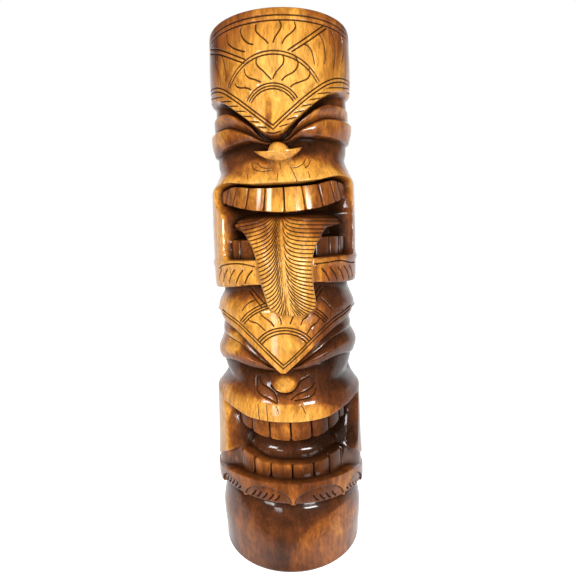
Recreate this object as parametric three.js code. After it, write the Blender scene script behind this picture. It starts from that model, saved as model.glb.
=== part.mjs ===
// Tiki totem: two grinning faces carved one above the other in a single log, on a plain foot.
// Millimetres, +Z up, origin under the middle of the foot, faces towards -Y.
// The wood is one closed skin: its radius is worked out for every arc round the log and every height.

import * as THREE from 'three';

const { clamp, lerp, smoothstep } = THREE.MathUtils;

// The log
const HEIGHT = 1016;
const LOG_RADIUS = 155;
const LOG_TAPER = 0.0215;
const ARC_RADIUS = 135;
const TOP_ROUNDING = 7;
const FOOT_ROUNDING = 6;
const EDGE_SHARE = 0.95;
const BACK_DEPTH = -9;
const BACK_START = 205;
const BACK_END = 262;
const WOOD_COLOUR = 0x8a4f1c;
const WOOD_ROUGHNESS = 0.32;

// Hand carving: the middle line wanders and the features lean, at [height, amount]
const MIDDLE_LINE = [[120, 5], [200, 3], [280, 2], [360, -5], [400, -8], [440, -5], [550, -4], [610, 0],
  [700, 2], [790, -6], [822, -13], [1016, -12]];
const LEAN = [[100, -0.02], [150, -0.065], [190, -0.03], [310, -0.02], [370, 0], [425, 0.035], [480, 0],
  [520, 0], [555, 0.02], [600, 0.015], [690, 0.01], [740, 0.035], [780, 0.05], [840, 0.04], [920, 0.015],
  [1000, 0]];
const LEAN_REACH = 190;

// Carving lines run round the log from the middle to the side. Each is given at these four arcs.
const STATIONS = [14, 57, 110, 200];

// Lower face: foot, chin, lips, nose and brow plate
const FOOT_BELLY = 80;
const FOOT_SHOULDER = 36;
const FOOT_NECK = 18;
const CHIN = [149, 149, 148, 132];
const CHIN_STEP = 5;
const LOWER_LIP = [192, 192, 189, 166];
const LOWER_LIP_FACE = 16;
const MUZZLE_LIP = [310, 311.5, 322, 336];
const LOWER_EYE = [396, 401, 411, 399];
const LOWER_PLATE = { tip: 400, flat: 4, rise: 0.97, shoulder: 440, drift: 0.36, top: 490, blend: 22 };

// Upper face: lips and brow plate
const CHEEK_FOOT = [562, 561, 555, 550];
const CHEEK_STEP = 4;
const CHEEK_NECK = 9;
const CHEEK_FACE = 14;
const UPPER_LIP = [734, 736, 743, 730];
const UPPER_EYE = [799.5, 810, 807, 803];
const UPPER_PLATE = { tip: 812.5, flat: 7, rise: 0.83, shoulder: 850, drift: 0.36, top: 899, blend: 24 };
const LID_THICKNESS = 3.5;
const PLATE_BEVEL = 8;
const PLATE_RIM = 1.5;
const LID_GROOVE = [404.5, 424.5, 450, 458];
const BROW_GROOVE = [806.2, 827, 844, 848];
const BROW_STEP = [809.5, 844.5, 869, 871];
const LEAST_WIDTH = 0.5;

// Walls of raised forms: how wide they are, and the share of that outside the outline
const WALL = 3.5;
const WALL_OUTSIDE = 0.3;

// Upper mouth
const UPPER_MOUTH = { floor: 604, depth: -46, blend: 4, corner: 12, wall: 5.5, rim: 1.5 };
const UPPER_MOUTH_SIDE = [[600, 141], [680, 139], [712, 156], [760, 160]];
const UPPER_MOUTH_SHIFT = [[600, 15], [685, 13], [712, 0]];
const UPPER_TEETH = { depth: -14, gaps: [0, 41, 80, 116, 142], fan: 0.18, length: 46, hidden: 4, margin: 1 };
const UPPER_TEETH_FOOT = [[0, 684], [57, 688], [115, 699], [150, 706]];
const CORNER_TEETH = { depth: -17, top: 641, foot: 600, inner: 40, gaps: [60, 96, 128], hidden: 3,
  margin: 2 };
const LIP_BEAD = { height: 597, width: 6.5, proud: 2.5 };

// Tongue
const TONGUE_WIDTH = [[530, 42], [560, 44], [600, 48], [626, 59], [638, 70], [648, 81], [655, 95], [658, 110],
  [661, 127], [668, 132]];
const TONGUE_TIP = { height: 530, length: 27.5, round: 2.5 };
const TONGUE_MIDDLE = [[503, 14], [530, 9], [560, 3], [600, -1], [655, 0], [661, 14], [690, 16]];
const TONGUE_DEPTH = [[503, 5], [520, 9], [560, 10], [600, 9], [625, 3], [645, -4], [658, -10], [668, -15],
  [676, -24], [683, -38], [690, -46]];
const TONGUE_CROWN = 4;
const TONGUE_ARCH = 2.5;
const TONGUE_FLARE = 6;
const TONGUE_ROOT = 690;
const TONGUE_EDGE = [[625, 4], [655, 15]];
const TONGUE_WALL_OUTSIDE = 0.8;
const CREASE = [[503, 9], [520, 5], [560, 0], [610, -3], [690, -6]];
const CREASE_DEPTH = 3.5;
const CREASE_WIDTH = 9;

// Upper nose: a round tip over a leaf-shaped underside
const UPPER_NOSE = { ridge: 788, width: 20, height: 17, proud: 3.5, root: -14 };
const NOSE_LEAF = { width: 42, foot: 771, rise: 1.5, lift: 5, root: -5.25, fall: 10.5 };

// Lower nose
const LOWER_NOSE_FOOT = [[0, 364], [10, 366], [18, 371], [26, 380], [44, 394]];
const LOWER_NOSE_TOP = [[10, 403], [26, 397], [44, 397]];
const LOWER_NOSE = { width: 44, proud: 5, root: -20, fall: 11, blend: 3 };

// Lower mouth
const LOWER_MOUTH_SIDE = [[188, 104], [228, 113], [262, 120], [295, 130], [318, 137]];
const LOWER_MOUTH_SHIFT = [[200, 5], [240, 9], [262, 12], [295, 15]];
const LOWER_MOUTH = { tongue: -32, depth: -50, tongueTop: 234, backFoot: 268, blend: 3, corner: 8, wall: 5.5,
  rim: 1.5 };
const JAMB_BEVEL = { depth: -16, foot: 215, fade: 25, head: 6 };
const JAMB_WIDTH = [[240, 28], [320, 14]];
const JAMB_FOOT = [[95, 240], [140, 216], [200, 186]];
const LEDGE = { depth: -15, start: 110, end: 190, wall: 4.5 };
const TOP_TEETH = { depth: -19, gaps: [0, 42, 81, 113], side: 132, hidden: 1, margin: 3 };
const TOP_TEETH_FOOT = [[0, 262], [50, 266], [90, 276], [125, 288]];
const BOTTOM_TEETH = { depth: -14, gaps: [0, 41, 75, 106], side: 112, hidden: 4 };
const BOTTOM_TEETH_TOP = [[0, 221], [50, 222], [104, 234]];
const SCALLOPS = [{ arc: -42, half: 41, rise: 32 }, { arc: 51, half: 46, rise: 31 },
  { arc: -120, half: 33, rise: 27 }, { arc: 136, half: 36, rise: 29 }];
const SCALLOP_DEPTH = 4.5;
const SCALLOP_EDGE = 0.12;
const SCALLOP_FOOT = 2;
const TOOTH_GAP = { depth: 7, half: 1.1, floor: 0.3, flare: 3.0, flareLength: 7 };
const TOOTH_CROWN = 1.6;

// Facets: a fine net over the wood, thinned to this many triangles where the wood is plainest
const ROWS = 400;
const COLUMNS = 256;
const FRONT_SHARE = 0.55;
const TRIANGLES = 9400;
const LEAST_TURN = 0.2;
const LEAST_SHAPE = 0.01;

// Shape-preserving cubic through [x, y] points, flat outside them
function curve(points) {
  const last = points.length - 1;
  const secant = points.slice(1).map(([x, y], i) => (y - points[i][1]) / (x - points[i][0]));
  const slope = points.map((_, i) => {
    const before = secant[i - 1] ?? 0;
    const after = secant[i] ?? 0;
    return before * after > 0 ? 2 * before * after / (before + after) : 0;
  });
  return (x) => {
    if (x <= points[0][0]) return points[0][1];
    if (x >= points[last][0]) return points[last][1];
    let i = 0;
    while (x > points[i + 1][0]) i += 1;
    const width = points[i + 1][0] - points[i][0];
    return hermite((x - points[i][0]) / width, points[i][1], points[i + 1][1], slope[i] * width,
      slope[i + 1] * width);
  };
}

function hermite(t, from, to, slopeFrom, slopeTo) {
  const rest = 1 - t;
  return from * (1 + 2 * t) * rest * rest + to * t * t * (3 - 2 * t)
    + slopeFrom * t * rest * rest - slopeTo * t * t * rest;
}

function smoothMin(a, b, blend) {
  const h = clamp(0.5 + 0.5 * (b - a) / blend, 0, 1);
  return lerp(b, a, h) - blend * h * (1 - h);
}

const stationCurve = (values) => curve(values.map((value, i) => [STATIONS[i], value]));
const above = (line, rise) => (arc) => line(arc) + rise;

// Lower edge of a brow plate: a blunt tip, steep sides and flatter shoulders
function plateEdge(plate) {
  return (arc) => {
    const side = plate.tip + plate.rise * Math.max(arc - plate.flat, 0);
    const shoulder = plate.shoulder + plate.drift * arc;
    return Math.max(plate.tip, smoothMin(smoothMin(side, shoulder, plate.blend), plate.top, plate.blend));
  };
}

const middleLine = curve(MIDDLE_LINE);
const lean = curve(LEAN);
const chin = stationCurve(CHIN);
const lowerLip = stationCurve(LOWER_LIP);
const muzzleLip = stationCurve(MUZZLE_LIP);
const lowerEye = stationCurve(LOWER_EYE);
const lowerPlate = plateEdge(LOWER_PLATE);
const cheekFoot = stationCurve(CHEEK_FOOT);
const upperLip = stationCurve(UPPER_LIP);
const upperEye = stationCurve(UPPER_EYE);
const upperPlate = plateEdge(UPPER_PLATE);
const level = (height) => () => height;
const even = (depth) => [depth, depth, depth, depth];

// The carving lines from the floor to the top: where each runs, and how far it stands off the log
const LINES = [
  { name: 'floor', height: level(0), depth: even(-10.5) },
  { name: 'foot belly', height: level(FOOT_BELLY), depth: even(-5.5) },
  { name: 'foot shoulder', height: above(chin, -FOOT_SHOULDER), depth: even(-7.5) },
  { name: 'foot neck', height: above(chin, -FOOT_NECK), depth: even(-11.5) },
  { name: 'foot top', height: above(chin, -CHIN_STEP), depth: even(-17) },
  { name: 'chin edge', height: chin, depth: even(1.5) },
  { name: 'lower lip face', height: above(lowerLip, -LOWER_LIP_FACE), depth: even(3.5) },
  { name: 'lower lip edge', height: lowerLip, depth: even(3.5) },
  { name: 'jaw', height: level(235), depth: even(1.5) },
  { name: 'muzzle lip', height: muzzleLip, depth: [6, 5.5, 2.6, 1] },
  { name: 'muzzle bulge', height: stationCurve([340, 341, 346, 349]), depth: [3, 2, -3, -8] },
  { name: 'muzzle top', height: stationCurve([365, 370, 371, 369]), depth: [-8, -12, -19, -25] },
  { name: 'under eye', height: stationCurve([389, 389, 385, 382]), depth: [-20, -20, -20, -19] },
  { name: 'eye slit', height: lowerEye, depth: [-27, -28, -22, -13] },
  { name: 'lid edge', height: above(lowerEye, LID_THICKNESS), depth: [-20, -16, -10, -9] },
  { name: 'lid crest', height: stationCurve([403, 418, 433, 424]), depth: [-18, -11, -4, -3] },
  { name: 'lid groove', height: stationCurve(LID_GROOVE), depth: [-22, -19.5, -15, -14] },
  { name: 'valley lip', height: stationCurve([406, 428, 455, 463]), depth: [-20.5, -15.5, -12.5, -13.5] },
  { name: 'plate foot', height: above(lowerPlate, -PLATE_BEVEL), depth: [-22, -20.5, -18, -16.5] },
  { name: 'plate rim', height: above(lowerPlate, PLATE_RIM), depth: [0, -1, -5, -10] },
  { name: 'brow swell', height: level(508), depth: [-2, -2.5, -3.5, -5.5] },
  { name: 'brow top', height: level(530), depth: [-10, -10.5, -11.5, -13] },
  { name: 'neck', height: above(cheekFoot, -CHEEK_NECK), depth: even(-18) },
  { name: 'neck top', height: above(cheekFoot, -CHEEK_STEP), depth: even(-17) },
  { name: 'cheek foot', height: cheekFoot, depth: even(-1.5) },
  { name: 'cheek face', height: above(cheekFoot, CHEEK_FACE), depth: even(0.5) },
  { name: 'cheek bead', height: level(603), depth: even(1) },
  { name: 'cheek', height: level(660), depth: even(2) },
  { name: 'upper lip', height: upperLip, depth: [3, 3, 3, 2] },
  { name: 'upper muzzle', height: stationCurve([752, 753, 755, 752]), depth: [-1, -1.5, -4, -7] },
  { name: 'upper muzzle top', height: stationCurve([769, 773, 772, 775]), depth: [-8, -10.5, -14, -15.5] },
  { name: 'eye bag', height: stationCurve([789, 788, 787, 787]), depth: [-18, -23, -18, -13] },
  { name: 'upper eye slit', height: upperEye, depth: [-27, -31, -24, -12] },
  { name: 'upper lid edge', height: above(upperEye, LID_THICKNESS), depth: [-19, -15, -7, -6.5] },
  { name: 'upper lid crest', height: stationCurve([805, 823, 838, 838]), depth: [-18, -10, -2, 0] },
  { name: 'brow groove', height: stationCurve(BROW_GROOVE), depth: [-24, -20, -11.5, -6.5] },
  { name: 'brow crest', height: stationCurve([809, 841, 865, 866]), depth: [-19, -11.5, -4, -6.5] },
  { name: 'brow step', height: stationCurve(BROW_STEP), depth: [-24, -21, -18, -9] },
  { name: 'upper plate foot', height: above(upperPlate, -PLATE_BEVEL), depth: [-25, -25, -23, -10] },
  { name: 'upper plate rim', height: above(upperPlate, PLATE_RIM), depth: [2, 1.5, -0.5, -2] },
  { name: 'forehead', height: level(950), depth: [0.5, 0.4, 0.2, 0] },
  { name: 'crown', height: level(HEIGHT), depth: even(-1) },
].map((line) => ({ ...line, depth: stationCurve(line.depth) }));

// Depth between the carving lines above and below a point
function broadForms(p) {
  const reach = Math.min(p.side, BACK_START);
  const heights = LINES.map((line) => line.height(reach));
  let i = LINES.length - 2;
  while (i > 0 && p.z < heights[i]) i -= 1;
  const depth = (k) => LINES[clamp(k, 0, LINES.length - 1)].depth(reach);
  const width = (k) => Math.max(heights[k + 1] - heights[k], LEAST_WIDTH);
  const secant = (k) => (k < 0 || k > LINES.length - 2 ? 0 : (depth(k + 1) - depth(k)) / width(k));
  const slope = (k) => {
    const product = secant(k - 1) * secant(k);
    return product > 0 ? 2 * product / (secant(k - 1) + secant(k)) : 0;
  };
  const t = clamp((p.z - heights[i]) / width(i), 0, 1);
  return hermite(t, depth(i), depth(i + 1), slope(i) * width(i), slope(i + 1) * width(i));
}

// Raise the wood to a form where the form stands proud, inside its outline
function raise(depth, form, inside, wall = WALL, outside = WALL_OUTSIDE) {
  return lerp(depth, Math.max(depth, form), smoothstep(inside, -outside * wall, (1 - outside) * wall));
}

// Grooves between neighbouring teeth, opening towards the free ends
function toothGaps(arc, toEnd, gaps) {
  const half = TOOTH_GAP.half + TOOTH_GAP.flare * (1 - smoothstep(toEnd, 0, TOOTH_GAP.flareLength));
  const nearest = Math.min(...gaps.map((gap) => Math.abs(arc - gap)));
  return TOOTH_GAP.depth * (1 - smoothstep(nearest, TOOTH_GAP.floor * half, half + TOOTH_GAP.half));
}

// Rounding across each tooth, from 0 at its sides to full in its middle
function toothCrown(arc, gaps) {
  const last = gaps.length - 1;
  let i = 0;
  while (i < last && arc >= gaps[i + 1]) i += 1;
  const end = i < last ? gaps[i + 1] : gaps[i] + gaps[1] - gaps[0];
  const across = clamp(2 * (arc - gaps[i]) / (end - gaps[i]) - 1, -1, 1);
  return TOOTH_CROWN * (1 - across * across);
}

function upperNose(p, depth) {
  const { ridge, width, height, proud, root } = UPPER_NOSE;
  const ball = 1 - (p.side / width) ** 2 - ((p.z - ridge) / height) ** 2;
  let result = depth;
  if (ball > 0 && p.z > ridge - 1) result = Math.max(result, lerp(root, proud, Math.sqrt(ball)));
  const spread = (p.side / NOSE_LEAF.width) ** 2;
  const foot = NOSE_LEAF.foot + (ridge - NOSE_LEAF.foot) * spread;
  const inside = Math.min(ridge + NOSE_LEAF.rise + NOSE_LEAF.lift * spread - p.z, p.z - foot);
  const form = lerp(NOSE_LEAF.root, proud, smoothstep(p.z, NOSE_LEAF.foot, ridge)) - NOSE_LEAF.fall * spread;
  return raise(result, form, inside);
}

const upperMouthSide = curve(UPPER_MOUTH_SIDE);
const upperMouthShift = curve(UPPER_MOUTH_SHIFT);
const upperTeethFoot = curve(UPPER_TEETH_FOOT);

function upperMouthAcross(p) {
  return upperMouthSide(p.z) - Math.abs(p.x - upperMouthShift(p.z));
}

function upperMouthInside(p) {
  const between = smoothMin(upperLip(p.side) - p.z, p.z - UPPER_MOUTH.floor, UPPER_MOUTH.blend);
  return smoothMin(between, upperMouthAcross(p), UPPER_MOUTH.corner);
}

function upperMouth(p, depth) {
  const { rim, wall } = UPPER_MOUTH;
  const { top, foot, inner, gaps, hidden, margin } = CORNER_TEETH;
  const inside = upperMouthInside(p);
  if (inside < -margin) return depth;
  const opened = lerp(depth, UPPER_MOUTH.depth, smoothstep(inside, -rim, wall - rim));
  const tooth = Math.min(top - p.z, p.z - foot, upperMouthAcross(p) + hidden, p.side - inner);
  const form = CORNER_TEETH.depth + toothCrown(p.side, gaps) - toothGaps(p.side, top - p.z, gaps);
  return raise(opened, form, tooth);
}

function upperTeeth(p, depth) {
  const { fan, length, gaps, hidden, margin } = UPPER_TEETH;
  if (upperMouthInside(p) < -margin) return depth;
  const foot = upperTeethFoot(p.side);
  const fanned = p.side * (1 + fan * clamp((p.z - foot) / length, 0, 1));
  const tooth = Math.min(upperLip(p.side) - hidden - p.z, p.z - foot, upperMouthSide(p.z) + hidden - p.side);
  const form = UPPER_TEETH.depth + toothCrown(fanned, gaps) - toothGaps(fanned, p.z - foot, gaps);
  return raise(depth, form, tooth);
}

const tongueSpread = curve(TONGUE_WIDTH);
const tongueMiddle = curve(TONGUE_MIDDLE);
const tongueDepth = curve(TONGUE_DEPTH);
const tongueEdge = curve(TONGUE_EDGE);
const crease = curve(CREASE);

function tongueWidth(z) {
  const { height, length, round } = TONGUE_TIP;
  const below = clamp((height - z) / length, 0, 1);
  return tongueSpread(z) * (1 - below ** round) ** (1 / round);
}

// Distance inside the tongue's outline, less than zero outside it
function tongueInside(p) {
  const foot = TONGUE_TIP.height - TONGUE_TIP.length;
  if (p.z < foot) return p.z - foot;
  const flare = clamp((tongueWidth(p.z + 1) - tongueWidth(p.z - 1)) / 2, -TONGUE_FLARE, TONGUE_FLARE);
  return (tongueWidth(p.z) - Math.abs(p.arc - tongueMiddle(p.z))) / Math.hypot(1, flare);
}

function tongue(p, depth) {
  if (p.z > TONGUE_ROOT) return depth;
  const inside = tongueInside(p);
  const across = Math.min(Math.abs(p.arc - tongueMiddle(p.z)) / Math.max(tongueWidth(p.z), 1), 1);
  const rolled = 1 - smoothstep(inside, 0, 2 * TONGUE_CROWN);
  const crown = TONGUE_CROWN * (across ** TONGUE_ARCH + rolled * rolled);
  const furrow = CREASE_DEPTH * Math.exp(-(((p.arc - crease(p.z)) / CREASE_WIDTH) ** 2));
  return raise(depth, tongueDepth(p.z) - crown - furrow, inside, tongueEdge(p.z), TONGUE_WALL_OUTSIDE);
}

function lipBead(p, depth) {
  const bell = Math.exp(-(((p.z - LIP_BEAD.height) / LIP_BEAD.width) ** 2));
  return depth + LIP_BEAD.proud * bell * smoothstep(-tongueInside(p), 0, LIP_BEAD.width);
}

const lowerNoseFoot = curve(LOWER_NOSE_FOOT);
const lowerNoseTop = curve(LOWER_NOSE_TOP);

function lowerNose(p, depth) {
  if (p.side > LOWER_NOSE.width) return depth;
  const inside = smoothMin(p.z - lowerNoseFoot(p.side), lowerNoseTop(p.side) - p.z, LOWER_NOSE.blend);
  const rise = 1 - smoothstep(p.z, lowerNoseFoot(0), lowerNoseTop(0));
  const form = lerp(LOWER_NOSE.root, LOWER_NOSE.proud, rise)
    - LOWER_NOSE.fall * (p.side / LOWER_NOSE.width) ** 2;
  return raise(depth, form, inside);
}

const lowerMouthSide = curve(LOWER_MOUTH_SIDE);
const lowerMouthShift = curve(LOWER_MOUTH_SHIFT);
const jambFoot = curve(JAMB_FOOT);
const jambWidth = curve(JAMB_WIDTH);
const topTeethFoot = curve(TOP_TEETH_FOOT);
const bottomTeethTop = curve(BOTTOM_TEETH_TOP);

function lowerMouthAcross(p) {
  return lowerMouthSide(p.z) - Math.abs(p.x - lowerMouthShift(p.z));
}

function lowerMouthInside(p) {
  const between = smoothMin(muzzleLip(p.side) - p.z, p.z - lowerLip(p.side), LOWER_MOUTH.blend);
  return smoothMin(between, lowerMouthAcross(p), LOWER_MOUTH.corner);
}

function lowerMouth(p, depth) {
  const { tongueTop, backFoot, blend, wall, rim } = LOWER_MOUTH;
  const past = clamp(1 + lowerMouthAcross(p) / jambWidth(p.z), 0, 1);
  const jamb = smoothstep(p.z, JAMB_BEVEL.foot, JAMB_BEVEL.foot + JAMB_BEVEL.fade)
    * smoothstep(muzzleLip(p.side) - p.z, 0, JAMB_BEVEL.head);
  const bevelled = depth + JAMB_BEVEL.depth * past * jamb;
  const ledge = smoothMin(p.z - lowerLip(p.side), jambFoot(p.side) - p.z, blend);
  const shelf = lerp(LEDGE.depth, 0, smoothstep(p.side, LEDGE.start, LEDGE.end));
  const stepped = lerp(bevelled, Math.min(bevelled, shelf), smoothstep(ledge, -rim, LEDGE.wall - rim));
  const back = lerp(LOWER_MOUTH.tongue, LOWER_MOUTH.depth, smoothstep(p.z, tongueTop, backFoot));
  return lerp(stepped, back, smoothstep(lowerMouthInside(p), -rim, wall - rim));
}

function lowerTeeth(p, depth) {
  if (lowerMouthInside(p) < -TOP_TEETH.margin) return depth;
  const foot = topTeethFoot(p.side);
  const hung = Math.min(muzzleLip(p.side) - TOP_TEETH.hidden - p.z, p.z - foot, TOP_TEETH.side - p.side);
  const hungForm = TOP_TEETH.depth + toothCrown(p.side, TOP_TEETH.gaps)
    - toothGaps(p.side, p.z - foot, TOP_TEETH.gaps);
  const top = bottomTeethTop(p.side);
  const rooted = p.z - lowerLip(p.side) + BOTTOM_TEETH.hidden;
  const stood = Math.min(top - p.z, rooted, BOTTOM_TEETH.side - p.side);
  const stoodForm = BOTTOM_TEETH.depth + toothCrown(p.side, BOTTOM_TEETH.gaps)
    - toothGaps(p.side, top - p.z, BOTTOM_TEETH.gaps);
  return raise(raise(depth, hungForm, hung), stoodForm, stood);
}

// Half-round hollows along the chin
function scallops(p, depth) {
  const up = p.z - chin(p.side);
  if (up < -SCALLOP_FOOT) return depth;
  const inside = SCALLOPS.map(({ arc, half, rise }) => 1 - ((p.arc - arc) / half) ** 2 - (up / rise) ** 2);
  return depth - SCALLOP_DEPTH * smoothstep(Math.max(...inside), 0, SCALLOP_EDGE);
}

const CARVING = [broadForms, upperNose, upperMouth, tongue, upperTeeth, lipBead, lowerNose, lowerMouth,
  lowerTeeth, scallops];

// How far a quarter-round edge draws in, at this share of the way over it
const drawIn = (share) => 1 - Math.sqrt(1 - EDGE_SHARE * clamp(share, 0, 1) ** 2);

// Radius of the wood at an angle from the front and a height
function woodRadius(angle, height) {
  const arc = angle * ARC_RADIUS;
  const x = arc - middleLine(height);
  const z = height - lean(height) * clamp(arc, -LEAN_REACH, LEAN_REACH);
  const p = { arc, x, z, side: Math.abs(x) };
  const carved = CARVING.reduce((depth, carve) => carve(p, depth), 0);
  const depth = lerp(carved, BACK_DEPTH, smoothstep(p.side, BACK_START, BACK_END));
  const top = TOP_ROUNDING * drawIn((height - HEIGHT) / TOP_ROUNDING + 1);
  const foot = FOOT_ROUNDING * drawIn(1 - height / FOOT_ROUNDING);
  return LOG_RADIUS - LOG_TAPER * height + depth - top - foot;
}

// Columns stand closer together at the front, where the carving is
function columnAngle(column) {
  const t = 2 * column / COLUMNS - 1;
  return Math.PI * (FRONT_SHARE * t + (1 - FRONT_SHARE) * t ** 5);
}

// The closed skin as a fine net: the carved side, a flat underside and a flat top
function fineNet() {
  const points = [];
  const triangles = [];
  for (let row = 0; row <= ROWS; row += 1) {
    const height = HEIGHT * row / ROWS;
    for (let column = 0; column < COLUMNS; column += 1) {
      const angle = columnAngle(column);
      const radius = woodRadius(angle, height);
      points.push(new THREE.Vector3(radius * Math.sin(angle), -radius * Math.cos(angle), height));
    }
  }
  const underside = points.push(new THREE.Vector3(0, 0, 0)) - 1;
  const top = points.push(new THREE.Vector3(0, 0, HEIGHT)) - 1;
  const at = (row, column) => row * COLUMNS + column % COLUMNS;
  for (let column = 0; column < COLUMNS; column += 1) {
    triangles.push([underside, at(0, column + 1), at(0, column)]);
    triangles.push([top, at(ROWS, column), at(ROWS, column + 1)]);
    for (let row = 0; row < ROWS; row += 1) {
      triangles.push([at(row, column), at(row, column + 1), at(row + 1, column + 1)]);
      triangles.push([at(row, column), at(row + 1, column + 1), at(row + 1, column)]);
    }
  }
  return { points, triangles };
}

// A heap of edges, the cheapest to give up first
class EdgeHeap {
  items = [];

  push(item) {
    let i = this.items.push(item) - 1;
    while (i > 0) {
      const parent = (i - 1) >> 1;
      if (this.items[parent].cost <= item.cost) break;
      this.items[i] = this.items[parent];
      i = parent;
    }
    this.items[i] = item;
  }

  pop() {
    const first = this.items[0];
    const item = this.items.pop();
    const count = this.items.length;
    let i = 0;
    while (count > 0) {
      let child = 2 * i + 1;
      if (child + 1 < count && this.items[child + 1].cost < this.items[child].cost) child += 1;
      if (child >= count || this.items[child].cost >= item.cost) break;
      this.items[i] = this.items[child];
      i = child;
    }
    if (count > 0) this.items[i] = item;
    return first;
  }
}

// Squared distance to the planes of the facets round a point, weighed by their area
const QUADRIC_SIZE = 10;

function addPlane(quadric, corner, normal, area) {
  const [a, b, c, d] = [normal.x, normal.y, normal.z, -normal.dot(corner)];
  const terms = [a * a, a * b, a * c, a * d, b * b, b * c, b * d, c * c, c * d, d * d];
  terms.forEach((term, i) => { quadric[i] += area * term; });
}

function strayed(quadric, { x, y, z }) {
  const [aa, ab, ac, ad, bb, bc, bd, cc, cd, dd] = quadric;
  return aa * x * x + bb * y * y + cc * z * z + dd
    + 2 * (ab * x * y + ac * x * z + bc * y * z + ad * x + bd * y + cd * z);
}

// Give up points one by one, always the one whose loss moves the skin least
function thin({ points, triangles }, wanted) {
  const around = points.map(() => new Set());
  const quadrics = points.map(() => new Float64Array(QUADRIC_SIZE));
  const stamps = new Uint32Array(points.length);
  const facet = new THREE.Triangle();
  const normal = new THREE.Vector3();
  triangles.forEach((corners, t) => {
    facet.set(...corners.map((corner) => points[corner]));
    facet.getNormal(normal);
    for (const corner of corners) {
      around[corner].add(t);
      addPlane(quadrics[corner], facet.a, normal, facet.getArea());
    }
  });
  const neighbours = (v) => {
    const found = new Set([...around[v]].flatMap((t) => triangles[t]));
    found.delete(v);
    return found;
  };
  const heap = new EdgeHeap();
  const offer = (gone, kept) => {
    const cost = strayed(quadrics[gone], points[kept]) + strayed(quadrics[kept], points[kept]);
    heap.push({ cost, gone, kept, stamp: stamps[gone] + stamps[kept] });
  };
  const turned = new THREE.Vector3();
  const sound = (gone, kept) => [...around[gone]].every((t) => {
    if (triangles[t].includes(kept)) return true;
    facet.set(...triangles[t].map((corner) => points[corner]));
    facet.getNormal(normal);
    facet.set(...triangles[t].map((corner) => points[corner === gone ? kept : corner]));
    facet.getNormal(turned);
    const longest = Math.max(facet.a.distanceToSquared(facet.b), facet.b.distanceToSquared(facet.c),
      facet.c.distanceToSquared(facet.a));
    return turned.dot(normal) > LEAST_TURN && facet.getArea() > LEAST_SHAPE * longest;
  });
  points.forEach((_, v) => neighbours(v).forEach((other) => offer(v, other)));
  let count = triangles.length;
  while (count > wanted && heap.items.length > 0) {
    const { gone, kept, stamp } = heap.pop();
    if (around[gone].size === 0 || stamp !== stamps[gone] + stamps[kept]) continue;
    const near = neighbours(kept);
    const shared = [...neighbours(gone)].filter((v) => near.has(v));
    if (shared.length !== 2 || !sound(gone, kept)) continue;
    for (const t of around[gone]) {
      if (triangles[t].includes(kept)) {
        triangles[t].forEach((corner) => { if (corner !== gone) around[corner].delete(t); });
        count -= 1;
      } else {
        triangles[t] = triangles[t].map((corner) => (corner === gone ? kept : corner));
        around[kept].add(t);
      }
    }
    around[gone].clear();
    quadrics[gone].forEach((term, i) => { quadrics[kept][i] += term; });
    stamps[kept] += 1;
    for (const other of neighbours(kept)) {
      offer(other, kept);
      offer(kept, other);
    }
  }
  return [...new Set(around.flatMap((set) => [...set]))].map((t) => triangles[t]);
}

function woodGeometry() {
  const net = fineNet();
  const numbers = new Map();
  const positions = [];
  const vertex = (v) => {
    if (!numbers.has(v)) {
      numbers.set(v, numbers.size);
      positions.push(...net.points[v]);
    }
    return numbers.get(v);
  };
  const index = thin(net, TRIANGLES).flatMap((corners) => corners.map(vertex));
  const geometry = new THREE.BufferGeometry();
  geometry.setAttribute('position', new THREE.Float32BufferAttribute(positions, 3));
  geometry.setIndex(index);
  geometry.computeVertexNormals();
  return geometry;
}

const wood = new THREE.MeshStandardMaterial({ color: WOOD_COLOUR, roughness: WOOD_ROUGHNESS, metalness: 0 });
const totem = new THREE.Mesh(woodGeometry(), wood);
totem.name = 'totem';

const part = new THREE.Group();
part.add(totem);

export default part;
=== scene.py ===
import math
from types import SimpleNamespace as Values

import bpy
import numpy as np
from mathutils import Matrix, Vector


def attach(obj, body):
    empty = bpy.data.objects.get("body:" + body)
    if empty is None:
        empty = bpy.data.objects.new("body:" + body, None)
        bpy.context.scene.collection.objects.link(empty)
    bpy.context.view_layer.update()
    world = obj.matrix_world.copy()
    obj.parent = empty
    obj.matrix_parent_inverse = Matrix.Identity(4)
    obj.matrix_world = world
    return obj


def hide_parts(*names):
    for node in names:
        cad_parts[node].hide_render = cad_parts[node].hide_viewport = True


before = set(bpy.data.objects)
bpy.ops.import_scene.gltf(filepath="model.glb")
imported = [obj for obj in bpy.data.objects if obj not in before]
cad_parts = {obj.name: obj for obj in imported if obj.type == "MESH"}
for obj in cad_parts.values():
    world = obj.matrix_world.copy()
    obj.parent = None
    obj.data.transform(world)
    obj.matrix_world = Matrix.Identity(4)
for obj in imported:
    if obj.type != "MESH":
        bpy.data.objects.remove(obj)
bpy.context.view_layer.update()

METRE = 0.001

# The log
HEIGHT = 1016
LOG_RADIUS = 155
LOG_TAPER = 0.0215
ARC_RADIUS = 135
TOP_ROUNDING = 7
FOOT_ROUNDING = 6
EDGE_SHARE = 0.95
BACK_DEPTH = -9
BACK_START = 205
BACK_END = 262

# Hand carving: the middle line wanders and the features lean, at (height, amount)
MIDDLE_LINE = [(120, 5), (200, 3), (280, 2), (360, -5), (400, -8), (440, -5), (550, -4), (610, 0), (700, 2),
               (790, -6), (822, -13), (1016, -12)]
LEAN = [(100, -0.02), (150, -0.065), (190, -0.03), (310, -0.02), (370, 0), (425, 0.035), (480, 0), (520, 0),
        (555, 0.02), (600, 0.015), (690, 0.01), (740, 0.035), (780, 0.05), (840, 0.04),
        (920, 0.015), (1000, 0)]
LEAN_REACH = 190

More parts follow.
